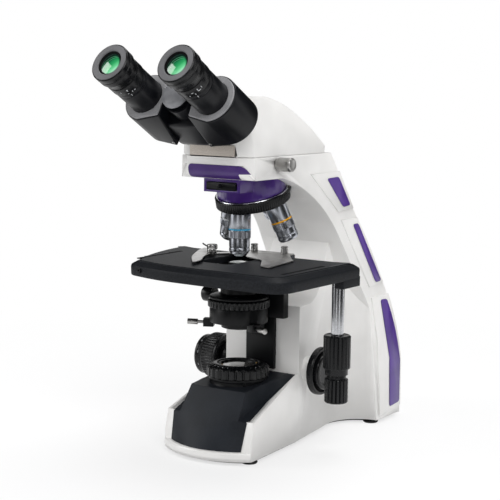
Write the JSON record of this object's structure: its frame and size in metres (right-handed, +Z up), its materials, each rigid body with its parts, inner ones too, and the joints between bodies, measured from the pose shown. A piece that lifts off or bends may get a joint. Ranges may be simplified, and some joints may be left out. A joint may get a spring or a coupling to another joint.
{
  "type": "binocular compound microscope",
  "caption": "Upright binocular compound microscope with a tilted turret of objectives, mechanical stage, condenser and coaxial focus knobs on a curved arm.",
  "frame": {"origin": "on the table under the middle of the instrument's outline", "axes": "+Z up; -Y towards the user, the side that the eyepieces face; +X to the user's right"},
  "size_m": [0.218, 0.3826, 0.3908],
  "materials": {
    "white_paint": "gloss",
    "purple_paint": "satin",
    "black_paint": "satin",
    "black_crinkle": "fine crinkle",
    "black_plastic": "matte",
    "chrome": "polished",
    "grey_metal": "satin",
    "beige_plastic": "matte",
    "glass": "coated",
    "rubber": "matte",
    "aluminium": "machined"
  },
  "bodies": {
    "stand": {"arm_casting": "white_paint", "side_inlays": "purple_paint", "base_cover": "black_paint", "bottom_plate": "black_plastic", "feet": "rubber", "field_collar": "black_paint", "field_glass": "glass", "lamp_module": "aluminium", "rear_panel": "black_plastic", "focus_guide": "black_paint", "nosepiece_housing": "purple_paint", "nosepiece_fascia": "purple_paint"},
    "head": {"head_shell": "white_paint", "head_insert": "beige_plastic", "head_yoke": "black_paint", "hinge_cap": "grey_metal"},
    "left_tube": {"left_housing": "black_paint", "left_face": "grey_metal", "left_eyepiece": "black_paint", "left_eye_lens": "glass"},
    "right_tube": {"right_housing": "black_paint", "right_face": "grey_metal", "right_eyepiece": "black_paint", "right_eye_lens": "glass"},
    "left_diopter_ring": {"left_diopter": "black_plastic"},
    "right_diopter_ring": {"right_diopter": "black_plastic"},
    "lock": {"lock_screw": "chrome"},
    "turret": {"turret_plate": "chrome", "turret_ring": "black_paint", "objective_4": "chrome", "objective_10": "chrome", "objective_40": "chrome", "objective_100": "chrome"},
    "front_40": {"objective_40_tip": "black_paint"},
    "front_100": {"objective_100_tip": "black_paint"},
    "carriage": {"stage_bracket": "black_paint", "lower_stage_plate": "black_crinkle"},
    "coarse": {"coarse_knob_left": "black_plastic", "coarse_knob_right": "black_plastic"},
    "fine": {"fine_knob_left": "black_plastic", "fine_knob_right": "black_plastic"},
    "tension": {"tension_ring": "black_plastic"},
    "stage": {"stage_plate": "black_crinkle", "drive_post": "chrome"},
    "y_knob": {"stage_y_knob": "black_plastic"},
    "x_knob": {"stage_x_knob": "black_plastic"},
    "slide_holder": {"slide_carriage": "black_paint", "holder_plate": "chrome"},
    "finger": {"spring_finger": "chrome"},
    "condenser": {"condenser_carrier": "black_paint", "condenser_body": "black_paint", "condenser_lens": "glass"},
    "iris": {"iris_ring": "black_paint"},
    "centring_left": {"centring_screw_left": "black_plastic"},
    "centring_right": {"centring_screw_right": "chrome"},
    "lift_knob": {"condenser_knob": "black_plastic"},
    "field_iris": {"field_ring": "black_paint"},
    "dial": {"brightness_dial": "black_plastic"},
    "rocker": {"power_rocker": "black_plastic"},
    "plug": {"slot_plug": "black_plastic"}
  },
  "joints": [
    {"name": "head_turn", "type": "hinge", "parent": "stand", "child": "head", "pos_m": [0, -0.0297, 0.289], "axis": [0, 0, 1], "continuous": true},
    {"name": "right_fold", "type": "hinge", "parent": "head", "child": "right_tube", "pos_m": [0, -0.1819, 0.3745], "axis": [0, -0.866, 0.5], "range_deg": [0, 41]},
    {"name": "left_fold", "type": "hinge", "parent": "head", "child": "left_tube", "pos_m": [0, -0.1819, 0.3745], "axis": [0, -0.866, 0.5], "range_deg": [-41, 0]},
    {"name": "left_diopter_turn", "type": "hinge", "parent": "left_tube", "child": "left_diopter_ring", "pos_m": [-0.0367, -0.1819, 0.3745], "axis": [0, -0.866, 0.5], "range_deg": [-150, 150]},
    {"name": "right_diopter_turn", "type": "hinge", "parent": "right_tube", "child": "right_diopter_ring", "pos_m": [0.0367, -0.1819, 0.3745], "axis": [0, -0.866, 0.5], "range_deg": [-150, 150]},
    {"name": "lock_turn", "type": "hinge", "parent": "stand", "child": "lock", "pos_m": [0.03, -0.0297, 0.2813], "axis": [1, 0, 0], "range_deg": [-360, 0]},
    {"name": "turret_turn", "type": "hinge", "parent": "stand", "child": "turret", "pos_m": [0, -0.00627, 0.24086], "axis": [0, -0.2924, 0.9563], "continuous": true},
    {"name": "front_40_push", "type": "slide", "parent": "turret", "child": "front_40", "axis": [0, 0, 1], "range_m": [0, 0.0015], "stiffness_N_per_m": 600},
    {"name": "front_100_push", "type": "slide", "parent": "turret", "child": "front_100", "axis": [0.2924, -0.2796, 0.9145], "range_m": [0, 0.0015], "stiffness_N_per_m": 600},
    {"name": "stage_focus", "type": "slide", "parent": "stand", "child": "carriage", "axis": [0, 0, 1], "range_m": [-0.018, 0.0005]},
    {"name": "coarse_turn", "type": "hinge", "parent": "stand", "child": "coarse", "pos_m": [0, 0.0303, 0.074], "axis": [1, 0, 0], "range_deg": [-172, 4.8]},
    {"name": "fine_turn", "type": "hinge", "parent": "stand", "child": "fine", "pos_m": [0, 0.0303, 0.074], "axis": [1, 0, 0], "continuous": true},
    {"name": "tension_turn", "type": "hinge", "parent": "stand", "child": "tension", "pos_m": [-0.049, 0.0303, 0.074], "axis": [1, 0, 0], "range_deg": [0, 60]},
    {"name": "stage_y", "type": "slide", "parent": "carriage", "child": "stage", "axis": [0, 1, 0], "range_m": [-0.025, 0.025]},
    {"name": "y_knob_turn", "type": "hinge", "parent": "stage", "child": "y_knob", "pos_m": [0.0885, 0.0103, 0.099], "axis": [0, 0, 1], "range_deg": [-300, 300]},
    {"name": "stage_x", "type": "slide", "parent": "stage", "child": "slide_holder", "axis": [1, 0, 0], "range_m": [-0.055, 0.012]},
    {"name": "x_knob_turn", "type": "hinge", "parent": "stage", "child": "x_knob", "pos_m": [0.0885, 0.0103, 0.062], "axis": [0, 0, 1], "range_deg": [-660, 145]},
    {"name": "finger_open", "type": "hinge", "parent": "slide_holder", "child": "finger", "pos_m": [-0.037, -0.0237, 0.1905], "axis": [0, 0, 1], "range_deg": [-25, 0], "stiffness_Nm_per_rad": 0.02},
    {"name": "condenser_lift", "type": "slide", "parent": "carriage", "child": "condenser", "axis": [0, 0, 1], "range_m": [-0.014, 0]},
    {"name": "lift_knob_turn", "type": "hinge", "parent": "carriage", "child": "lift_knob", "pos_m": [-0.05, 0.0071, 0.1425], "axis": [1, 0, 0], "range_deg": [-201, 0]},
    {"name": "iris_turn", "type": "hinge", "parent": "condenser", "child": "iris", "pos_m": [0, -0.0297, 0.145], "axis": [0, 0, 1], "range_deg": [-35, 35]},
    {"name": "centring_left_turn", "type": "hinge", "parent": "condenser", "child": "centring_left", "pos_m": [-0.03609, -0.04694, 0.124], "axis": [-0.9023, -0.4311, 0], "range_deg": [-360, 360]},
    {"name": "centring_right_turn", "type": "hinge", "parent": "condenser", "child": "centring_right", "pos_m": [0.03609, -0.04694, 0.124], "axis": [0.9023, -0.4311, 0], "range_deg": [-360, 360]},
    {"name": "field_iris_turn", "type": "hinge", "parent": "stand", "child": "field_iris", "pos_m": [0, -0.0297, 0.077], "axis": [0, 0, 1], "range_deg": [-45, 45]},
    {"name": "dial_turn", "type": "hinge", "parent": "stand", "child": "dial", "pos_m": [-0.05, -0.0347, 0.026], "axis": [1, 0, 0], "range_deg": [0, 270]},
    {"name": "rocker_tilt", "type": "hinge", "parent": "stand", "child": "rocker", "pos_m": [0.03, 0.1813, 0.032], "axis": [1, 0, 0], "range_deg": [-6, 6]},
    {"name": "plug_pull", "type": "slide", "parent": "stand", "child": "plug", "axis": [0, -1, 0], "range_m": [0, 0.03]}
  ],
  "couplings": [
    {"joint": "left_fold", "follows": "right_fold", "ratio": -1},
    {"joint": "coarse_turn", "follows": "stage_focus", "rad_per_m": 166.67},
    {"joint": "y_knob_turn", "follows": "stage_y", "rad_per_m": 209},
    {"joint": "x_knob_turn", "follows": "stage_x", "rad_per_m": 209},
    {"joint": "lift_knob_turn", "follows": "condenser_lift", "rad_per_m": 250}
  ]
}
